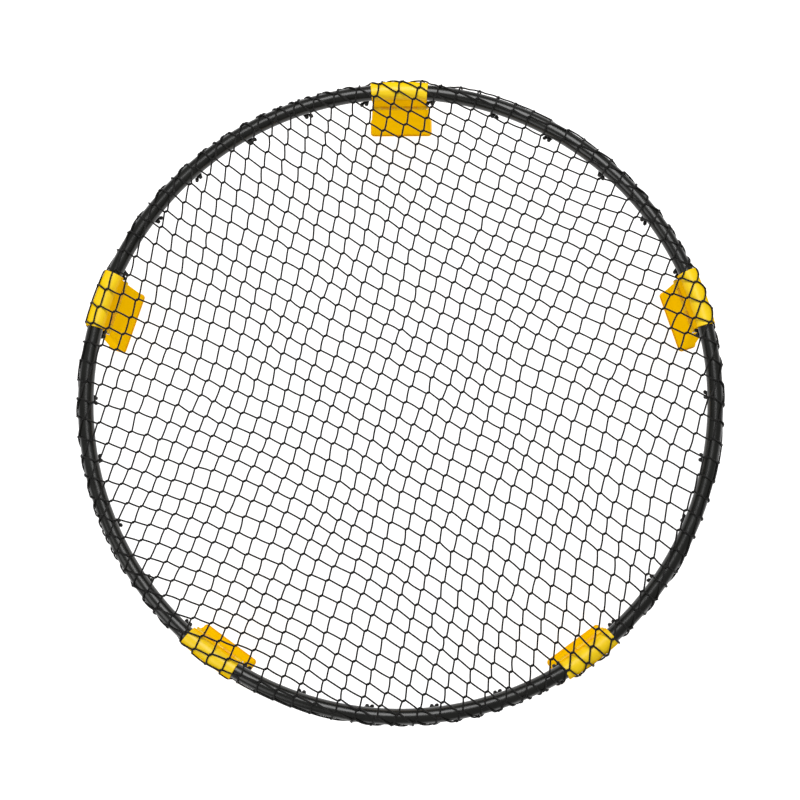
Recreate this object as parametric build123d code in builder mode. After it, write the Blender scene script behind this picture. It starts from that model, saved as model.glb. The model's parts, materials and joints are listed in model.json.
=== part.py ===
from build123d import *
import os
from math import atan2, cos, degrees, radians, sin

os.makedirs("parts", exist_ok=True)

# ---------------------------------------------------------------- driving dimensions, millimetres
RIM_OUTER_DIAMETER = 914.4
OVERALL_HEIGHT = 203.2
TUBE_DIAMETER = 22.0
TUBE_WALL = 2.0
NET_THICKNESS = 1.6
NET_GAP = 0.2

STATION_COUNT = 5
FIRST_STATION = 90.0  # degrees from +X to the middle of the first leg

SLEEVE_LENGTH = 82.0
SLEEVE_WALL = 3.0
SLEEVE_EDGE_RADIUS = 1.0
BORE_CLEARANCE = 0.15
STOP_THICKNESS = 4.0
TUBE_END_GAP = 0.3

NECK_WIDTH = 80.0
NECK_DEPTH = 20.0
NECK_CORNER_RADIUS = 3.0
HINGE_DROP = 40.0
HINGE_INSET = 10.0  # from the tube's centre line in to the hinge line, on the leg's inner face
SEAM = 0.3  # between the neck's bottom and the leg's top, which bears on it when the leg is down
KNUCKLE_RADIUS = 4.0
KNUCKLE_CLEARANCE = 0.4
CENTRE_KNUCKLE_WIDTH = 16.0
LEG_KNUCKLE_WIDTH = 18.0
PIN_RADIUS = 1.5
PIN_CLEARANCE = 0.05
PIN_HEAD_RADIUS = 2.8
PIN_HEAD_LENGTH = 1.2

LEG_TOP_WIDTH = 80.0
LEG_TOP_DEPTH = 21.0
FOOT_WIDTH = 95.0
FOOT_DEPTH = 25.0
FOOT_OUTSET = 9.0
LEG_CORNER_RADIUS = 4.0
LEG_WALL = 3.0
LEG_ROOF = 8.0
LEG_CELLS = 3
FOOT_BEAD = 1.5
FOOT_BEAD_HEIGHT = 3.0
PANEL_WIDTH = 56.0
PANEL_HEIGHT = 84.0
PANEL_CORNER_RADIUS = 8.0
PANEL_RECESS = 0.8

HOOKS_PER_TUBE = 6
HOOK_PITCH = 11.85  # degrees between the hooks of one tube
HOOK_DIP = 55.0  # degrees below horizontal, pointing towards the ring's axis
HOOK_STEM_RADIUS = 2.4
HOOK_HOLE_CLEARANCE = 0.1
HOOK_HEAD_RADIUS = 3.6
HOOK_NOSE_RADIUS = 2.6
HOOK_HEAD_START = 16.0
HOOK_TIP = 20.0

BORDER_TOP_ANGLE = 87.0
BORDER_BOTTOM_ANGLE = -18.0

# ---------------------------------------------------------------- values worked out from them
TUBE_RADIUS = TUBE_DIAMETER / 2
RIM_RADIUS = RIM_OUTER_DIAMETER / 2 - TUBE_RADIUS
SLEEVE_RADIUS = TUBE_RADIUS + SLEEVE_WALL
RIM_HEIGHT = OVERALL_HEIGHT - NET_THICKNESS - NET_GAP - SLEEVE_RADIUS
HINGE_HEIGHT = RIM_HEIGHT - HINGE_DROP
HINGE_RADIUS = RIM_RADIUS - HINGE_INSET
LEG_TOP_HEIGHT = HINGE_HEIGHT - SEAM / 2
LEG_TOP_CENTRE = HINGE_RADIUS + LEG_TOP_DEPTH / 2
STATION_STEP = 360 / STATION_COUNT
UP = Vector(0, 0, 1)


def rim_degrees(length):
    """The angle that a length along the rim's centre line spans."""
    return degrees(length / RIM_RADIUS)


def outward(azimuth):
    """The horizontal direction that points away from the ring's axis."""
    return Vector(cos(radians(azimuth)), sin(radians(azimuth)), 0)


def level(azimuth, height):
    """A horizontal plane on the ring's axis, with x pointing out through the azimuth."""
    return Plane(origin=UP * height, x_dir=outward(azimuth), z_dir=UP)


def section(azimuth, height=RIM_HEIGHT):
    """An upright plane across the rim: x points away from the ring's axis and y points up."""
    along = outward(azimuth)
    return Plane(origin=along * RIM_RADIUS + UP * height, x_dir=along, z_dir=along.cross(UP))


def hinge_section(number):
    """An upright plane across a leg's hinge line, with its origin on that line."""
    plane = section(station(number), HINGE_HEIGHT)
    plane.origin = plane.origin - plane.x_dir * HINGE_INSET
    return plane


def station(number):
    return FIRST_STATION + STATION_STEP * (number - 1)


def hook_azimuths(number):
    """The hooks of one tube, spaced evenly about its middle."""
    middle = station(number) + STATION_STEP / 2
    first = middle - HOOK_PITCH * (HOOKS_PER_TUBE - 1) / 2
    return [first + HOOK_PITCH * i for i in range(HOOKS_PER_TUBE)]


def hook_plane(azimuth):
    """A plane at the tube's centre line whose z points down and inwards, along the hook."""
    along = outward(azimuth)
    direction = along * -cos(radians(HOOK_DIP)) - UP * sin(radians(HOOK_DIP))
    return Plane(origin=along * RIM_RADIUS + UP * RIM_HEIGHT, x_dir=along.cross(UP), z_dir=direction)


def make_rim_tube(number):
    """One curved rim tube, from the stop in one leg socket to the stop in the next."""
    end_setback = rim_degrees(STOP_THICKNESS / 2 + TUBE_END_GAP)
    with BuildPart() as tube:
        with BuildSketch(section(station(number) + end_setback)):
            Circle(TUBE_RADIUS)
            Circle(TUBE_RADIUS - TUBE_WALL, mode=Mode.SUBTRACT)
        revolve(axis=Axis.Z, revolution_arc=STATION_STEP - 2 * end_setback)
        for azimuth in hook_azimuths(number):
            with BuildSketch(hook_plane(azimuth)):
                Circle(HOOK_STEM_RADIUS + HOOK_HOLE_CLEARANCE)
            extrude(amount=TUBE_DIAMETER, mode=Mode.SUBTRACT)
    return tube.part


def make_net_hooks(number):
    """The hooks of one tube: a stem plugged into the tube's wall and a tapered head."""
    stem_start = TUBE_RADIUS - TUBE_WALL
    with BuildPart() as hooks:
        for azimuth in hook_azimuths(number):
            plane = hook_plane(azimuth)
            with BuildSketch(plane.offset(stem_start)):
                Circle(HOOK_STEM_RADIUS)
            extrude(amount=HOOK_HEAD_START - stem_start)
            with BuildSketch(plane.offset(HOOK_HEAD_START)):
                Circle(HOOK_HEAD_RADIUS)
            with BuildSketch(plane.offset(HOOK_TIP)):
                Circle(HOOK_NOSE_RADIUS)
            loft()
    return hooks.part


def knuckle_spans():
    """The stretches of the hinge line that the socket's and the leg's knuckles take."""
    centre = CENTRE_KNUCKLE_WIDTH / 2
    leg_start = centre + KNUCKLE_CLEARANCE
    leg_end = leg_start + LEG_KNUCKLE_WIDTH
    end_start = leg_end + KNUCKLE_CLEARANCE
    socket_spans = [(-NECK_WIDTH / 2, -end_start), (-centre, centre), (end_start, NECK_WIDTH / 2)]
    leg_spans = [(-leg_end, -leg_start), (leg_start, leg_end)]
    return socket_spans, leg_spans


def hinge_barrel(number, spans, radius, end_room=0.0):
    """Round solids on a leg's hinge line, one for each span of it."""
    hinge = hinge_section(number)
    with BuildPart() as barrel:
        for start, end in spans:
            with BuildSketch(hinge.offset(start - end_room)):
                Circle(radius)
            extrude(amount=end - start + 2 * end_room)
    return barrel.part


def hinge_solids(number, own_spans, other_spans):
    """Room for the other piece's knuckles, this piece's own knuckles, and the pin's hole."""
    room = hinge_barrel(number, other_spans, KNUCKLE_RADIUS + KNUCKLE_CLEARANCE, KNUCKLE_CLEARANCE)
    knuckles = hinge_barrel(number, own_spans, KNUCKLE_RADIUS)
    pin_hole = hinge_barrel(number, [(-NECK_WIDTH, NECK_WIDTH)], PIN_RADIUS + PIN_CLEARANCE)
    return room, knuckles, pin_hole


def make_leg_socket(number):
    """A sleeve that takes two rim tubes, on a neck that ends in the leg's hinge."""
    azimuth = station(number)
    half_arc = rim_degrees(SLEEVE_LENGTH / 2)
    half_stop = rim_degrees(STOP_THICKNESS / 2)
    bore_arc = half_arc - half_stop
    neck_bottom = HINGE_HEIGHT + SEAM / 2
    socket_spans, leg_spans = knuckle_spans()
    room, knuckles, pin_hole = hinge_solids(number, socket_spans, leg_spans)
    with BuildPart() as socket:
        with BuildSketch(section(azimuth - half_arc)):
            Circle(SLEEVE_RADIUS)
        revolve(axis=Axis.Z, revolution_arc=2 * half_arc)
        fillet(socket.edges().filter_by(GeomType.CIRCLE), SLEEVE_EDGE_RADIUS)
        with BuildSketch(level(azimuth, neck_bottom)):
            with Locations((HINGE_RADIUS + NECK_DEPTH / 2, 0)):
                RectangleRounded(NECK_DEPTH, NECK_WIDTH, NECK_CORNER_RADIUS)
        extrude(amount=RIM_HEIGHT - neck_bottom)
        for start in (azimuth - half_arc, azimuth + half_stop):
            with BuildSketch(section(start)):
                Circle(TUBE_RADIUS + BORE_CLEARANCE)
            revolve(axis=Axis.Z, revolution_arc=bore_arc, mode=Mode.SUBTRACT)
        add(room, mode=Mode.SUBTRACT)
        add(knuckles)
        add(pin_hole, mode=Mode.SUBTRACT)
    return socket.part


def make_hinge_pin(number):
    """A headed steel pin through the socket's knuckles and the leg's knuckles."""
    hinge = hinge_section(number)
    with BuildPart() as pin:
        with BuildSketch(hinge):
            Circle(PIN_RADIUS)
        extrude(amount=NECK_WIDTH / 2, both=True)
        for side in (-1, 1):
            with BuildSketch(hinge.offset(side * NECK_WIDTH / 2)):
                Circle(PIN_HEAD_RADIUS)
            extrude(amount=side * PIN_HEAD_LENGTH)
    return pin.part


def make_leg(number):
    """A folding leg: a hollow flared box with ribs inside, open at the foot."""
    azimuth = station(number)
    foot_centre = RIM_RADIUS + FOOT_OUTSET
    cell_top_width = (LEG_TOP_WIDTH - LEG_WALL * (LEG_CELLS + 1)) / LEG_CELLS
    cell_foot_width = (FOOT_WIDTH - LEG_WALL * (LEG_CELLS + 1)) / LEG_CELLS
    socket_spans, leg_spans = knuckle_spans()
    room, knuckles, pin_hole = hinge_solids(number, leg_spans, socket_spans)
    with BuildPart() as leg:
        with BuildSketch(level(azimuth, LEG_TOP_HEIGHT)):
            with Locations((LEG_TOP_CENTRE, 0)):
                RectangleRounded(LEG_TOP_DEPTH, LEG_TOP_WIDTH, LEG_CORNER_RADIUS)
        with BuildSketch(level(azimuth, 0)):
            with Locations((foot_centre, 0)):
                RectangleRounded(FOOT_DEPTH, FOOT_WIDTH, LEG_CORNER_RADIUS)
        loft()
        with BuildSketch(level(azimuth, 0)):
            with Locations((foot_centre, 0)):
                RectangleRounded(
                    FOOT_DEPTH + 2 * FOOT_BEAD,
                    FOOT_WIDTH + 2 * FOOT_BEAD,
                    LEG_CORNER_RADIUS + FOOT_BEAD,
                )
        extrude(amount=FOOT_BEAD_HEIGHT)
        for cell in range(LEG_CELLS):
            place = cell - (LEG_CELLS - 1) / 2
            with BuildSketch(level(azimuth, LEG_TOP_HEIGHT - LEG_ROOF)):
                with Locations((LEG_TOP_CENTRE, place * (cell_top_width + LEG_WALL))):
                    Rectangle(LEG_TOP_DEPTH - 2 * LEG_WALL, cell_top_width)
            with BuildSketch(level(azimuth, 0)):
                with Locations((foot_centre, place * (cell_foot_width + LEG_WALL))):
                    Rectangle(FOOT_DEPTH - 2 * LEG_WALL, cell_foot_width)
            loft(mode=Mode.SUBTRACT)
        with BuildSketch(outer_face_plane(azimuth)):
            RectangleRounded(PANEL_WIDTH, PANEL_HEIGHT, PANEL_CORNER_RADIUS)
        extrude(amount=-PANEL_RECESS, mode=Mode.SUBTRACT)
        add(room, mode=Mode.SUBTRACT)
        add(knuckles)
        add(pin_hole, mode=Mode.SUBTRACT)
    return leg.part


def outer_face_plane(azimuth):
    """The middle of a leg's outer face, with x along the rim and y up the face."""
    top = LEG_TOP_CENTRE + LEG_TOP_DEPTH / 2
    foot = RIM_RADIUS + FOOT_OUTSET + FOOT_DEPTH / 2
    lean = atan2(foot - top, LEG_TOP_HEIGHT)
    along = outward(azimuth)
    normal = along * cos(lean) + UP * sin(lean)
    origin = along * ((top + foot) / 2) + UP * (LEG_TOP_HEIGHT / 2)
    return Plane(origin=origin, x_dir=UP.cross(along), z_dir=normal)


def make_net_bed():
    """The flat playing surface, just above the tops of the sleeves."""
    with BuildPart() as bed:
        with BuildSketch(Plane.XY.offset(OVERALL_HEIGHT - NET_THICKNESS)):
            Circle(RIM_RADIUS)
        extrude(amount=NET_THICKNESS)
    return bed.part


def make_net_border():
    """The net's edge, wrapped over the outside of the tubes and sleeves."""
    inner = SLEEVE_RADIUS + NET_GAP
    outer = inner + NET_THICKNESS
    span = BORDER_BOTTOM_ANGLE - BORDER_TOP_ANGLE
    with BuildPart() as border:
        with BuildSketch(section(0)):
            with BuildLine():
                outside = CenterArc((0, 0), outer, BORDER_TOP_ANGLE, span)
                inside = CenterArc((0, 0), inner, BORDER_TOP_ANGLE, span)
                Line(outside @ 0, inside @ 0)
                Line(outside @ 1, inside @ 1)
            make_face()
        revolve(axis=Axis.Z)
    return border.part


makers = {
    "rim_tube": make_rim_tube,
    "net_hooks": make_net_hooks,
    "leg_socket": make_leg_socket,
    "hinge_pin": make_hinge_pin,
    "leg": make_leg,
}
for name, make in makers.items():
    for number in range(1, STATION_COUNT + 1):
        part = make(number)
        part.label = f"{name}_{number}"
        export_step(part, f"parts/{part.label}.step")

net_bed = make_net_bed()
net_bed.label = "net_bed"
export_step(net_bed, "parts/net_bed.step")

net_border = make_net_border()
net_border.label = "net_border"
export_step(net_border, "parts/net_border.step")
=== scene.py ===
import json
from math import cos, pi, radians, sin

import bpy
import numpy as np
from mathutils import Matrix, Vector


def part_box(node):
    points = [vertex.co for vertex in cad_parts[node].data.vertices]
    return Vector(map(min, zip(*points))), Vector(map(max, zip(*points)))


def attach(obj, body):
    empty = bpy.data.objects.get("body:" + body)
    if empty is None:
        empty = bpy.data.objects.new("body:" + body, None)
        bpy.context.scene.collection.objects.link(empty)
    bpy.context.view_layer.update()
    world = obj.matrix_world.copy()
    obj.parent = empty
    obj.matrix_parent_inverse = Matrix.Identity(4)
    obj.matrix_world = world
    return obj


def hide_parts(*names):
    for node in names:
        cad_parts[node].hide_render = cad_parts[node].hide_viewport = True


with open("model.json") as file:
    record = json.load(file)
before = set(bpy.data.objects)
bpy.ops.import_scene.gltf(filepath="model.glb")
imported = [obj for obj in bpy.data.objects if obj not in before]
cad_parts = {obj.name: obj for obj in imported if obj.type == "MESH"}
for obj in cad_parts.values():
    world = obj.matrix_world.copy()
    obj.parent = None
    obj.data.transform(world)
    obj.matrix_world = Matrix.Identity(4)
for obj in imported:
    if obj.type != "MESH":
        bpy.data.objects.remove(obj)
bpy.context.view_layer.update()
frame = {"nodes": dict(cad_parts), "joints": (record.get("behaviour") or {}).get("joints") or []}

MM = 0.001

# ---------------------------------------------------------------- camera, light and floor, metres
CAMERA_PLACE = Vector((0.031, -0.229, 2.013))
CAMERA_AIM = (0.001, -0.007)  # x and y of the point looked at, at the rim's height
CAMERA_LENS = 58.4
FLOOR_SIZE = 30.0
FLOOR_DROP = 0.0005

# ---------------------------------------------------------------- the ring, read from the frame
bed_low, bed_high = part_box("net_bed")
tube_low, tube_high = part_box("rim_tube_1")
sleeve_low, sleeve_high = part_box("leg_socket_1")
RIM_RADIUS = (bed_high.x - bed_low.x) / 2
RIM_HEIGHT = (tube_low.z + tube_high.z) / 2
TUBE_RADIUS = (tube_high.z - tube_low.z) / 2
SLEEVE_RADIUS = sleeve_high.z - RIM_HEIGHT
SLEEVE_HALF_LENGTH = 41 * MM
SLEEVE_RAMP = 7 * MM  # along the rim, over which the net climbs from tube to sleeve
SLEEVE_FADE = 28 * MM  # inwards from the rim, over which the net comes down again
STATIONS = np.array([np.arctan2(j["pos_m"][1], j["pos_m"][0]) for j in frame["joints"]])
HOOKS_PER_TUBE = 6
HOOK_PITCH = radians(11.85)
HOOK_DIP = radians(55)  # below horizontal, towards the ring's axis

# ---------------------------------------------------------------- the net
STRAND_RADIUS = 1.25 * MM
STRAND_SIDES = 6
STRAND_STEPS = 8
KNOT_HALF_LENGTH = 2.3 * MM
KNOT_LEAN = radians(24)  # the long way of a knot, anticlockwise from +X
KNOT_OVERLAP = 1.12  # how far past the strands' ends a knot reaches
KNOT_END_WIDTH = 0.55  # of a strand's radius
KNOT_BELLY = 1.0  # what the middle adds to that
KNOT_TWIST = 0.16  # depth of the winding on a knot
KNOT_SHAPE = 0.6  # power of a sine arch, squarer when smaller
RANDOM_SEED = 7
MESH_REACH = 26  # meshes counted each way from the middle of the net
NET_SHIFT = (7 * MM, -12 * MM)
ROW_PITCH = 23.0 * MM
ROW_LEAN = radians(-23.4)
COLUMN_PITCH = 23.2 * MM
COLUMN_LEAN = radians(-112.1)
# How the stretched net bends, each as the move of a knot BEND_SPAN meshes from the middle.
BEND_SPAN = 15
EDGE_STRETCH = 40 * MM  # meshes grow longer along the rim, away from the middle
ROW_BOW = 9 * MM
COLUMN_SQUEEZE = 14 * MM  # meshes grow shorter at the two ends of a column
WRINKLE = 2.2 * MM  # slow waves in the rows
WAVE_X = (47 * MM, 61 * MM, 27 * MM)  # along x, along y, and along the diagonal
WAVE_Y = (58 * MM, 43 * MM, 31 * MM)
DIAGONAL_WAVE = 0.6  # the diagonal wave's share of the others
KNOT_SCATTER = 0.5 * MM
STRAND_BOW = 0.4 * MM

HOOK_TURN = radians(212)  # round the tube from its top, outwards, to a hook
SCALLOP_TURN = radians(160)  # the same to the net's edge midway between two hooks
NECK_TURN = radians(112)  # and in front of a leg's neck
SCALLOP_SHAPE = 0.8  # powers of a sine arch, squarer when smaller
NECK_SHAPE = 0.45
HOOK_GRIP = 13.6 * MM  # from the tube's centre line to the loop on a hook
LOOP_RADIUS = 3.4 * MM
LOOP_KNOT_PLACE = (6.6 * MM, 18.0 * MM)  # along the rim from the hook, and out along the hook
LOOP_KNOT_SIZE = 1.5
LOOP_KNOT_SLANT = 0.7
LOOP_POINTS = 20
EDGE_RADIUS = 1.1 * MM
EDGE_STEPS = 14
EDGE_HALVINGS = 14  # of the search for where a strand meets the edge
CORD_SIDES = 8

# Slack in the net where it goes round the tube: where it stands off, how far round the ring it
# reaches, and how far it lifts.
SLACK = [
    (radians(78), radians(9), 2.6 * MM),
    (radians(52), radians(7), 1.2 * MM),
    (radians(206), radians(6), 0.9 * MM),
    (radians(283), radians(9), 0.8 * MM),
    (radians(307), radians(6), 2.4 * MM),
]
SLACK_EVERYWHERE = 0.1 * MM
SLACK_RIPPLES = (41, 67)  # waves round the ring


def turned(angle):
    """The angle brought into the half turn either side of zero."""
    return (angle + pi) % (2 * pi) - pi


def smoothstep(x):
    x = np.clip(x, 0, 1)
    return x * x * (3 - 2 * x)


def sleeve_share(azimuth):
    """1 over a leg's sleeve and 0 over bare tube, with a short ramp over the sleeve's end."""
    nearest = np.abs(turned(azimuth[..., None] - STATIONS)).min(-1) * RIM_RADIUS
    return smoothstep((SLEEVE_HALF_LENGTH + SLEEVE_RAMP / 2 - nearest) / SLEEVE_RAMP)


def slack_lift(azimuth, turn):
    """How far the net stands off the tube, most at its outer side."""
    lift = np.full_like(azimuth, SLACK_EVERYWHERE)
    for middle, reach, most in SLACK:
        lift = np.maximum(lift, most * np.exp(-((turned(azimuth - middle) / reach) ** 2)))
    wide, fine = SLACK_RIPPLES
    ripple = 0.55 + 0.45 * np.sin(wide * azimuth + 3 * turn) * np.sin(fine * azimuth + 1.3)
    outer_side = np.sin(np.clip(turn, 0, pi)) ** 2
    return lift * ripple * outer_side


def wrap(flat, lift=0.0):
    """Lays points of the flat net, an array (..., 2), over the ring and round its tube."""
    along = np.hypot(flat[..., 0], flat[..., 1])
    azimuth = np.arctan2(flat[..., 1], flat[..., 0])
    step = (SLEEVE_RADIUS - TUBE_RADIUS) * sleeve_share(azimuth)
    inwards = np.maximum(RIM_RADIUS - along, 0)
    radius = TUBE_RADIUS + STRAND_RADIUS + step
    turn = np.maximum(along - RIM_RADIUS, 0) / radius
    radius = radius + slack_lift(azimuth, turn) + lift
    radius = np.where(inwards > 0, radius - step * (1 - np.exp(-inwards / SLEEVE_FADE)), radius)
    out = np.minimum(along, RIM_RADIUS) + radius * np.sin(turn)
    up = RIM_HEIGHT + radius * np.cos(turn)
    return np.stack([out * np.cos(azimuth), out * np.sin(azimuth), up], -1)


def hook_azimuths():
    """Every hook of the ring, in order round it."""
    first = (2 * pi / len(STATIONS) - HOOK_PITCH * (HOOKS_PER_TUBE - 1)) / 2
    found = [s + first + HOOK_PITCH * i for s in sorted(STATIONS) for i in range(HOOKS_PER_TUBE)]
    return np.array(found)


def edge_turn(azimuth):
    """How far round the tube the net's edge lies: furthest at each hook, scalloped between."""
    hooks = np.sort(hook_azimuths() % (2 * pi))
    ring = np.concatenate([[hooks[-1] - 2 * pi], hooks, [hooks[0] + 2 * pi]])
    place = azimuth % (2 * pi)
    after = np.clip(np.searchsorted(ring, place), 1, len(ring) - 1)
    share = (place - ring[after - 1]) / (ring[after] - ring[after - 1])
    middle = (ring[after] + ring[after - 1]) / 2
    at_neck = np.abs(turned(middle[..., None] - STATIONS)).min(-1) < radians(1)
    rise = HOOK_TURN - np.where(at_neck, NECK_TURN, SCALLOP_TURN)
    return HOOK_TURN - rise * np.sin(pi * share) ** np.where(at_neck, NECK_SHAPE, SCALLOP_SHAPE)


def edge_reach(azimuth):
    """The flat net's radius at its edge."""
    step = (SLEEVE_RADIUS - TUBE_RADIUS) * sleeve_share(azimuth)
    return RIM_RADIUS + (TUBE_RADIUS + STRAND_RADIUS + step) * edge_turn(azimuth)


def knot_grid(rng):
    """The flat places of the knots, an array indexed by mesh count each way."""
    count = np.arange(-MESH_REACH, MESH_REACH + 1) / BEND_SPAN
    i, j = np.meshgrid(count, count, indexing="ij")
    row, column = ROW_PITCH * BEND_SPAN, COLUMN_PITCH * BEND_SPAN
    x = NET_SHIFT[0] + row * cos(ROW_LEAN) * i + column * cos(COLUMN_LEAN) * j
    y = NET_SHIFT[1] + row * sin(ROW_LEAN) * i + column * sin(COLUMN_LEAN) * j
    x = x + EDGE_STRETCH * i * j**2
    y = y - EDGE_STRETCH * i**2 * j - ROW_BOW * i**2 + COLUMN_SQUEEZE * j**3
    wave_x = np.sin(x / WAVE_X[0] + 1.1) * np.sin(y / WAVE_X[1] + 0.4)
    wave_x = wave_x + DIAGONAL_WAVE * np.sin((x - y) / WAVE_X[2])
    wave_y = np.sin(x / WAVE_Y[0] + 2.3) * np.sin(y / WAVE_Y[1] + 1.9)
    wave_y = wave_y + DIAGONAL_WAVE * np.sin((x + y) / WAVE_Y[2])
    x = x + WRINKLE * wave_x + rng.normal(0, KNOT_SCATTER, x.shape)
    y = y + WRINKLE * wave_y + rng.normal(0, KNOT_SCATTER, y.shape)
    return np.stack([x, y], -1)


def inside(flat):
    return np.hypot(flat[..., 0], flat[..., 1]) < edge_reach(np.arctan2(flat[..., 1], flat[..., 0]))


def cut_at_edge(start, end):
    """The points where strands that start inside the net's edge cross it."""
    low = np.zeros(len(start))
    high = np.ones(len(start))
    for _ in range(EDGE_HALVINGS):
        middle = (low + high) / 2
        within = inside(start + (end - start) * middle[:, None])
        low = np.where(within, middle, low)
        high = np.where(within, high, middle)
    return start + (end - start) * low[:, None]


def strands(knots, di, dj, leave, rng):
    """Flat paths from every knot to its neighbour (di, dj) meshes on. Each starts at its knot
    plus leave and ends at the neighbour less leave, so it meets both knots at an end."""
    size_i, size_j = knots.shape[:2]
    start = knots[: size_i - di, : size_j - dj].reshape(-1, 2)
    end = knots[di:, dj:].reshape(-1, 2)
    start_in, end_in = inside(start), inside(end)
    bow = rng.normal(0, STRAND_BOW, len(start))
    start = start + leave
    end = end - leave
    crossing_out = start_in & ~end_in
    crossing_in = end_in & ~start_in
    end[crossing_out] = cut_at_edge(start[crossing_out], end[crossing_out])
    start[crossing_in] = cut_at_edge(end[crossing_in], start[crossing_in])
    used = start_in | end_in
    start, end, bow = start[used], end[used], bow[used]
    share = np.linspace(0, 1, STRAND_STEPS + 1)[None, :, None]
    across = (end - start)[:, ::-1] * (-1, 1)
    across = across / np.maximum(np.linalg.norm(across, axis=1, keepdims=True), 1e-9)
    path = start[:, None] + (end - start)[:, None] * share
    return path + across[:, None] * (bow[:, None, None] * np.sin(pi * share))


def add_mesh(name, points, faces, uvs):
    """A smooth-shaded piece from arrays of points, four-cornered faces and corner UVs."""
    mesh = bpy.data.meshes.new(name)
    mesh.vertices.add(len(points))
    mesh.vertices.foreach_set("co", np.asarray(points, np.float32).ravel())
    mesh.loops.add(faces.size)
    mesh.loops.foreach_set("vertex_index", faces.ravel().astype(np.int32))
    mesh.polygons.add(len(faces))
    mesh.polygons.foreach_set("loop_start", np.arange(0, faces.size, 4, dtype=np.int32))
    layer = mesh.uv_layers.new(name="UVMap")
    mesh.update(calc_edges=True)
    layer.data.foreach_set("uv", np.asarray(uvs, np.float32).ravel())
    mesh.polygons.foreach_set("use_smooth", np.ones(len(faces), bool))
    mesh.validate()
    piece = bpy.data.objects.new(name, mesh)
    bpy.context.scene.collection.objects.link(piece)
    return piece


def tubes(name, lines, normals, radius, sides, closed=False):
    """Round tubes along many lines of equal point counts, an array (lines, points, 3)."""
    count, steps = lines.shape[:2]
    if closed:
        tangent = np.roll(lines, -1, 1) - np.roll(lines, 1, 1)
    else:
        tangent = np.gradient(lines, axis=1)
    tangent /= np.linalg.norm(tangent, axis=2, keepdims=True)
    side = np.cross(tangent, normals)
    side /= np.linalg.norm(side, axis=2, keepdims=True)
    top = np.cross(side, tangent)
    angle = np.arange(sides) * 2 * pi / sides
    ring = side[:, :, None] * np.cos(angle)[:, None] + top[:, :, None] * np.sin(angle)[:, None]
    points = lines[:, :, None] + ring * radius
    index = np.arange(count * steps * sides).reshape(count, steps, sides)
    last = index if closed else index[:, :-1]
    following = np.roll(index, -1, 1) if closed else index[:, 1:]
    around = np.roll(last, -1, 2)
    around_following = np.roll(following, -1, 2)
    faces = np.stack([last, around, around_following, following], -1).reshape(-1, 4)
    length = np.linalg.norm(np.diff(lines, axis=1), axis=2).sum(1).mean() / (steps - 1)
    v = np.arange(last.shape[1])[None, :, None] * length / (2 * pi * radius)
    u = np.arange(sides)[None, None, :] / sides
    u, v = np.broadcast_arrays(u, v)
    rise = length / (2 * pi * radius)
    corners = [(u, v), (u + 1 / sides, v), (u + 1 / sides, v + rise), (u, v + rise)]
    uv = np.stack([np.stack(c, -1) for c in corners], 2)
    uvs = np.broadcast_to(uv, (count, *uv.shape[1:])).reshape(-1, 2)
    if not closed:
        faces, uvs = add_caps(faces, uvs, index)
    return add_mesh(name, points.reshape(-1, 3), faces, uvs)


def add_caps(faces, uvs, index):
    """Closes both ends of each six-sided tube with two four-cornered faces."""
    caps = []
    for ring, order in ((index[:, 0], (0, 3, 2, 1)), (index[:, -1], (0, 1, 2, 3))):
        for corners in ((0, 1, 2, 3), (0, 3, 4, 5)):
            caps.append(ring[:, [corners[k] for k in order]])
    caps = np.concatenate(caps)
    return np.concatenate([faces, caps]), np.concatenate([uvs, np.zeros((caps.size, 2))])


def surface_normals(flat):
    normals = wrap(flat, 0.5 * MM) - wrap(flat)
    return normals / np.linalg.norm(normals, axis=-1, keepdims=True)


def make_strands(name, flat):
    return tubes(name, wrap(flat), surface_normals(flat), STRAND_RADIUS, STRAND_SIDES)


def make_knots(name, middle, forward, normal, size):
    """A lump of wound twine at each middle, long along its forward direction."""
    around, along = 8, 7
    theta = np.arange(around) * 2 * pi / around
    share = np.linspace(0, 1, along)
    half = KNOT_HALF_LENGTH * KNOT_OVERLAP * size
    width = STRAND_RADIUS * size * (KNOT_END_WIDTH + KNOT_BELLY * np.sin(pi * share) ** KNOT_SHAPE)
    turns = 1 + KNOT_TWIST * np.cos(5 * pi * share[:, None] + theta[None, :])
    x = np.broadcast_to(((share * 2 - 1) * half)[:, None], turns.shape)
    y = width[:, None] * turns * np.cos(theta)
    z = width[:, None] * turns * np.sin(theta)
    forward = forward / np.linalg.norm(forward, axis=1, keepdims=True)
    side = np.cross(normal, forward)
    side /= np.linalg.norm(side, axis=1, keepdims=True)
    top = np.cross(forward, side)
    points = middle[:, None, None] + x[None, :, :, None] * forward[:, None, None]
    points = points + y[None, :, :, None] * side[:, None, None]
    points = points + z[None, :, :, None] * top[:, None, None]
    index = np.arange(len(middle) * along * around).reshape(-1, along, around)
    following = np.roll(index, -1, 2)
    faces = np.stack([index[:, :-1], following[:, :-1], following[:, 1:], index[:, 1:]], -1)
    faces = faces.reshape(-1, 4)
    caps = []
    for ring in (index[:, 0, ::-1], index[:, -1]):
        for k in (0, 2, 4):
            caps.append(ring[:, [0, k + 1, k + 2, k + 3]])
    faces = np.concatenate([faces, *caps])
    uvs = np.tile([(0, 0), (0.2, 0), (0.2, 0.2), (0, 0.2)], (len(faces), 1))
    return add_mesh(name, points.reshape(-1, 3), faces, uvs)


def edge_line():
    """The net's edge cord: down to each hook and up between hooks."""
    hooks = hook_azimuths()
    following = np.append(hooks[1:], hooks[0] + 2 * pi)
    share = np.arange(EDGE_STEPS) / EDGE_STEPS
    azimuth = (hooks[:, None] + (following - hooks)[:, None] * share).ravel()
    reach = edge_reach(azimuth)
    return np.stack([reach * np.cos(azimuth), reach * np.sin(azimuth)], -1)


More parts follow.
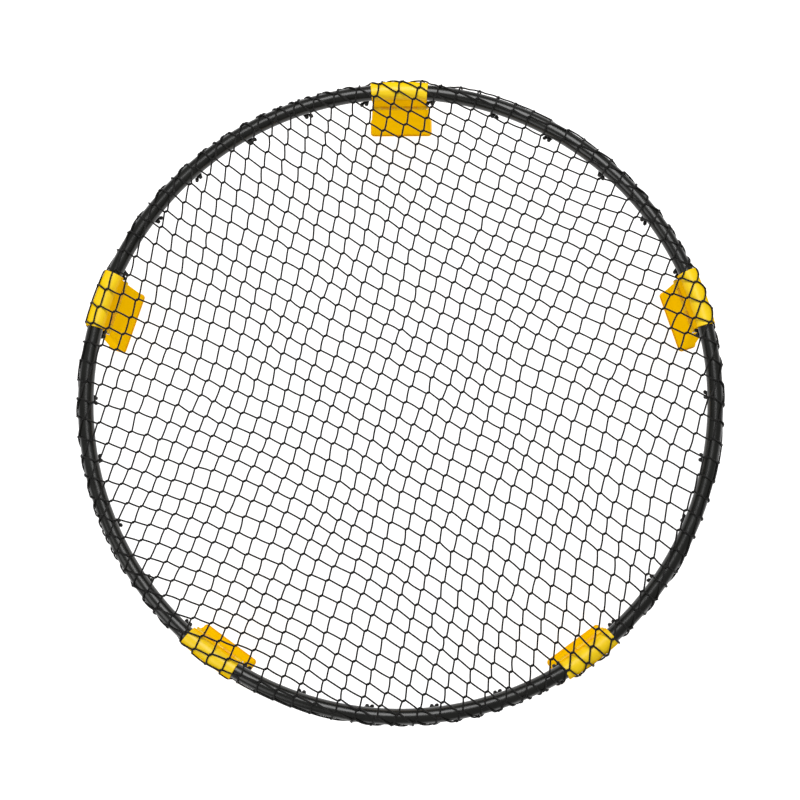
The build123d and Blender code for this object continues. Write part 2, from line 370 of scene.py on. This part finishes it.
def hook_directions():
    """For every hook: its place on the tube's centre line, then the directions of its stem, of
    the rim beside it, and across both."""
    azimuth = hook_azimuths()
    out = np.stack([np.cos(azimuth), np.sin(azimuth), np.zeros_like(azimuth)], -1)
    up = np.array([0, 0, 1.0])
    stem = -out * cos(HOOK_DIP) - up * sin(HOOK_DIP)
    along = np.cross(up, out)
    return out * RIM_RADIUS + up * RIM_HEIGHT, stem, along, np.cross(stem, along)


def hook_loops():
    """A ring of twine round each hook's stem, as centre lines and their normals."""
    middle, stem, along, across = hook_directions()
    angle = np.arange(LOOP_POINTS) * 2 * pi / LOOP_POINTS
    ring = along[:, None] * np.cos(angle)[:, None] + across[:, None] * np.sin(angle)[:, None]
    lines = (middle + stem * HOOK_GRIP)[:, None] + ring * LOOP_RADIUS
    return lines, np.broadcast_to(stem[:, None], lines.shape)


# ---------------------------------------------------------------- materials
def new_material(name, colour, roughness):
    material = bpy.data.materials.new(name)
    material.use_nodes = True
    shader = material.node_tree.nodes["Principled BSDF"]
    shader.inputs["Base Color"].default_value = (*colour, 1)
    shader.inputs["Roughness"].default_value = roughness
    return material, material.node_tree.nodes, material.node_tree.links, shader


def noise(nodes, links, scale, detail, vector):
    node = nodes.new("ShaderNodeTexNoise")
    node.inputs["Scale"].default_value = scale
    node.inputs["Detail"].default_value = detail
    links.new(vector, node.inputs["Vector"])
    return node


def ramp(nodes, links, value, stops):
    node = nodes.new("ShaderNodeValToRGB")
    links.new(value, node.inputs["Fac"])
    while len(node.color_ramp.elements) < len(stops):
        node.color_ramp.elements.new(0.5)
    for element, (place, colour) in zip(node.color_ramp.elements, stops):
        element.position = place
        element.color = (*colour, 1)
    return node.outputs["Color"]


def bump(nodes, links, shader, height, distance, strength, below=None):
    node = nodes.new("ShaderNodeBump")
    node.inputs["Distance"].default_value = distance
    node.inputs["Strength"].default_value = strength
    links.new(height, node.inputs["Height"])
    if below is not None:
        links.new(below, node.inputs["Normal"])
    links.new(node.outputs["Normal"], shader.inputs["Normal"])
    return node.outputs["Normal"]


def ranged(nodes, links, value, low, high, socket, full=1.0):
    """Drives a socket from low, at a value of 0, to high, at the full value."""
    node = nodes.new("ShaderNodeMapRange")
    node.inputs["From Max"].default_value = full
    node.inputs["To Min"].default_value = low
    node.inputs["To Max"].default_value = high
    links.new(value, node.inputs["Value"])
    links.new(node.outputs["Result"], socket)


def scaled(nodes, links, scale):
    """Object coordinates stretched by a different amount each way."""
    coordinates = nodes.new("ShaderNodeTexCoord")
    mapping = nodes.new("ShaderNodeMapping")
    mapping.inputs["Scale"].default_value = scale
    links.new(coordinates.outputs["Object"], mapping.inputs["Vector"])
    return mapping.outputs["Vector"]


def round_the_ring(nodes, links):
    """Coordinates that run along the rim, across it and up, all in metres."""
    coordinates = nodes.new("ShaderNodeTexCoord")
    split = nodes.new("ShaderNodeSeparateXYZ")
    links.new(coordinates.outputs["Object"], split.inputs["Vector"])
    angle = nodes.new("ShaderNodeMath")
    angle.operation = "ARCTAN2"
    links.new(split.outputs["Y"], angle.inputs[0])
    links.new(split.outputs["X"], angle.inputs[1])
    along = nodes.new("ShaderNodeMath")
    along.operation = "MULTIPLY"
    along.inputs[1].default_value = RIM_RADIUS
    links.new(angle.outputs[0], along.inputs[0])
    length = nodes.new("ShaderNodeVectorMath")
    length.operation = "LENGTH"
    flat = nodes.new("ShaderNodeCombineXYZ")
    links.new(split.outputs["X"], flat.inputs["X"])
    links.new(split.outputs["Y"], flat.inputs["Y"])
    links.new(flat.outputs["Vector"], length.inputs[0])
    joined = nodes.new("ShaderNodeCombineXYZ")
    links.new(along.outputs[0], joined.inputs["X"])
    links.new(length.outputs["Value"], joined.inputs["Y"])
    links.new(split.outputs["Z"], joined.inputs["Z"])
    return joined.outputs["Vector"]


def twine_material():
    """Black twisted twine: two plies that wind round each other, and a little dust."""
    material, nodes, links, shader = new_material("black_twine", (0.008, 0.0075, 0.007), 0.6)
    uv = nodes.new("ShaderNodeTexCoord")
    twist = nodes.new("ShaderNodeTexWave")
    twist.wave_type = "BANDS"
    twist.bands_direction = "DIAGONAL"
    twist.inputs["Scale"].default_value = 1.6
    twist.inputs["Distortion"].default_value = 0.3
    links.new(uv.outputs["UV"], twist.inputs["Vector"])
    dust = noise(nodes, links, 60, 3, uv.outputs["Object"])
    stops = [(0.35, (0.004, 0.0038, 0.0035)), (0.75, (0.012, 0.011, 0.01))]
    tint = ramp(nodes, links, dust.outputs["Fac"], stops)
    links.new(tint, shader.inputs["Base Color"])
    shader.inputs["Specular IOR Level"].default_value = 0.25
    shader.inputs["Sheen Weight"].default_value = 0.04
    shader.inputs["Sheen Roughness"].default_value = 0.5
    bump(nodes, links, shader, twist.outputs["Fac"], 0.35 * MM, 0.8)
    return material


def tube_material():
    """Satin black moulded tube: fine scuffs along the rim, and small dull patches."""
    material, nodes, links, shader = new_material("satin_black_tube", (0.006, 0.006, 0.005), 0.2)
    place = round_the_ring(nodes, links)
    stretch = nodes.new("ShaderNodeMapping")
    stretch.inputs["Scale"].default_value = (12, 900, 900)
    links.new(place, stretch.inputs["Vector"])
    scuffs = noise(nodes, links, 1.0, 4, stretch.outputs["Vector"])
    patches = noise(nodes, links, 34, 4, place)
    stops = [(0.3, (0.0035, 0.0037, 0.0028)), (0.72, (0.008, 0.0083, 0.0066))]
    tint = ramp(nodes, links, patches.outputs["Fac"], stops)
    links.new(tint, shader.inputs["Base Color"])
    ranged(nodes, links, patches.outputs["Fac"], 0.22, 0.34, shader.inputs["Roughness"])
    shader.inputs["Specular IOR Level"].default_value = 0.45
    grain = noise(nodes, links, 1400, 2, place)
    under = bump(nodes, links, shader, grain.outputs["Fac"], 0.02 * MM, 0.4)
    bump(nodes, links, shader, scuffs.outputs["Fac"], 0.03 * MM, 0.4, under)
    return material


def moulded_plastic(name, colour, under, roughness):
    """Moulded plastic: orange peel, slight mottling, and painted shade: a deeper colour where it
    faces down.
    """
    material, nodes, links, shader = new_material(name, colour, roughness)
    place = nodes.new("ShaderNodeTexCoord").outputs["Object"]
    split = nodes.new("ShaderNodeSeparateXYZ")
    links.new(nodes.new("ShaderNodeNewGeometry").outputs["Normal"], split.inputs["Vector"])
    # Painted shade: the base colour deepens to under where the surface faces sideways or down, and
    # is colour where it faces up.
    tint = ramp(nodes, links, split.outputs["Z"], [(0.2, under), (0.85, colour)])
    mottle = noise(nodes, links, 26, 4, place)
    wear = ramp(nodes, links, mottle.outputs["Fac"], [(0.3, (0.93, 0.91, 0.9)), (0.65, (1, 1, 1))])
    worn = nodes.new("ShaderNodeMix")
    worn.data_type = "RGBA"
    worn.blend_type = "MULTIPLY"
    worn.inputs["Factor"].default_value = 1.0
    # A mix node's colours are sockets 6 and 7 in and 2 out; the rest are for its other data types.
    links.new(tint, worn.inputs[6])
    links.new(wear, worn.inputs[7])
    links.new(worn.outputs[2], shader.inputs["Base Color"])
    scuff = noise(nodes, links, 110, 5, place)
    dull = shader.inputs["Roughness"]
    ranged(nodes, links, scuff.outputs["Fac"], roughness - 0.07, roughness + 0.13, dull)
    glance = nodes.new("ShaderNodeLayerWeight").outputs["Facing"]
    ranged(nodes, links, glance, 0.4, 0.0, shader.inputs["Specular IOR Level"], full=0.45)
    peel = noise(nodes, links, 420, 2, place)
    bump(nodes, links, shader, peel.outputs["Fac"], 0.06 * MM, 0.5)
    return material


def hook_material():
    material, nodes, links, shader = new_material("matt_black_hook", (0.005, 0.005, 0.005), 0.55)
    shader.inputs["Specular IOR Level"].default_value = 0.2
    place = nodes.new("ShaderNodeTexCoord").outputs["Object"]
    grain = noise(nodes, links, 700, 3, place)
    ranged(nodes, links, grain.outputs["Fac"], 0.45, 0.65, shader.inputs["Roughness"])
    bump(nodes, links, shader, grain.outputs["Fac"], 0.05 * MM, 0.6)
    return material


def steel_material():
    """Drawn steel, brushed round the ring's line."""
    material, nodes, links, shader = new_material("drawn_steel", (0.55, 0.55, 0.56), 0.32)
    shader.inputs["Metallic"].default_value = 1.0
    lines = noise(nodes, links, 1.0, 3, scaled(nodes, links, (300, 300, 2200)))
    ranged(nodes, links, lines.outputs["Fac"], 0.24, 0.42, shader.inputs["Roughness"])
    bump(nodes, links, shader, lines.outputs["Fac"], 0.02 * MM, 0.5)
    return material


def floor_material():
    material, nodes, links, shader = new_material("white_floor", (0.42, 0.42, 0.42), 0.6)
    shader.inputs["Specular IOR Level"].default_value = 0.1
    shader.inputs["Emission Color"].default_value = (1, 1, 1, 1)
    shader.inputs["Emission Strength"].default_value = 0.97
    behind = nodes.new("ShaderNodeNewGeometry").outputs["Backfacing"]
    ranged(nodes, links, behind, 1.0, 0.0, shader.inputs["Alpha"])
    return material


def dress(piece, material):
    piece.data.materials.clear()
    piece.data.materials.append(material)


# ---------------------------------------------------------------- pieces
def make_net():
    rng = np.random.default_rng(RANDOM_SEED)
    lean = np.array([cos(KNOT_LEAN), sin(KNOT_LEAN)])
    knots = knot_grid(rng)
    rows = strands(knots, 1, 0, lean * KNOT_HALF_LENGTH, rng)
    columns = strands(knots, 0, 1, -lean * KNOT_HALF_LENGTH, rng)
    edge = edge_line()[None]
    edge_normals = surface_normals(edge)
    loops, loop_normals = hook_loops()
    flat = knots[inside(knots)]
    forward = wrap(flat + lean * KNOT_HALF_LENGTH) - wrap(flat - lean * KNOT_HALF_LENGTH)
    middle, stem, along, across = hook_directions()
    along_rim, out_stem = LOOP_KNOT_PLACE
    side = np.where(rng.random(len(middle)) < 0.5, -1.0, 1.0)[:, None]
    tied = middle + stem * out_stem + along * side * along_rim
    tied_lean = stem + along * side * LOOP_KNOT_SLANT
    pieces = [
        make_strands("net_rows", rows),
        make_strands("net_columns", columns),
        make_knots("net_knots", wrap(flat), forward, surface_normals(flat), 1.0),
        make_knots("net_hook_knots", tied, tied_lean, across, LOOP_KNOT_SIZE),
        tubes("net_edge_cord", wrap(edge), edge_normals, EDGE_RADIUS, CORD_SIDES, closed=True),
        tubes("net_hook_loops", loops, loop_normals, STRAND_RADIUS, CORD_SIDES, closed=True),
    ]
    twine = twine_material()
    for piece in pieces:
        dress(piece, twine)
        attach(piece, "rim")
    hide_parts("net_bed", "net_border")


def dress_frame():
    # The second colour of each is painted shade, laid on where the surface faces sideways or down.
    yellow = moulded_plastic("bright_yellow_socket", (0.98, 0.68, 0.006), (0.95, 0.5, 0.0), 0.34)
    amber = moulded_plastic("amber_yellow_leg", (0.99, 0.56, 0.0), (0.99, 0.55, 0.0), 0.4)
    finishes = {
        "rim_tube": tube_material(),
        "net_hooks": hook_material(),
        "leg_socket": yellow,
        "hinge_pin": steel_material(),
        "leg": amber,
    }
    for name, node in frame["nodes"].items():
        kind = name.rsplit("_", 1)[0]
        if kind in finishes:
            dress(node, finishes[kind])


def make_studio():
    bpy.ops.mesh.primitive_plane_add(size=FLOOR_SIZE, location=(0, 0, -FLOOR_DROP))
    floor = bpy.context.object
    floor.name = "floor"
    dress(floor, floor_material())

    world = bpy.data.worlds.new("studio")
    bpy.context.scene.world = world
    world.use_nodes = True
    nodes, links = world.node_tree.nodes, world.node_tree.links
    background = nodes["Background"]
    background.inputs["Color"].default_value = (1, 1, 1, 1)
    seen = nodes.new("ShaderNodeLightPath").outputs["Is Camera Ray"]
    ranged(nodes, links, seen, 0.3, 1.0, background.inputs["Strength"])

    def softbox(name, place, aim, size, watts):
        light = bpy.data.lights.new(name, "AREA")
        light.shape = "DISK"
        light.size = size
        light.energy = watts
        lamp = bpy.data.objects.new(name, light)
        lamp.location = place
        lamp.rotation_euler = (Vector(aim) - Vector(place)).to_track_quat("-Z", "Y").to_euler()
        bpy.context.scene.collection.objects.link(lamp)

    softbox("overhead_softbox", (0.3, 1.4, 2.8), (0, 0.1, 0), 1.8, 66)
    softbox("fill_softbox", (-1.8, -1.6, 2.2), (0, 0, 0.1), 2.0, 26)


def make_camera():
    camera = bpy.data.objects.new("camera", bpy.data.cameras.new("camera"))
    bpy.context.scene.collection.objects.link(camera)
    aim = Vector((*CAMERA_AIM, RIM_HEIGHT))
    back = (CAMERA_PLACE - aim).normalized()
    right = Vector((0, 1, 0)).cross(back).normalized()
    camera.matrix_world = Matrix.LocRotScale(
        CAMERA_PLACE, Matrix((right, back.cross(right), back)).transposed(), None
    )
    camera.data.lens = CAMERA_LENS
    camera.data.sensor_width = 36
    camera.data.clip_end = 100
    bpy.context.scene.camera = camera


make_camera()
make_studio()
dress_frame()
make_net()
bpy.context.scene.view_settings.view_transform = "Standard"
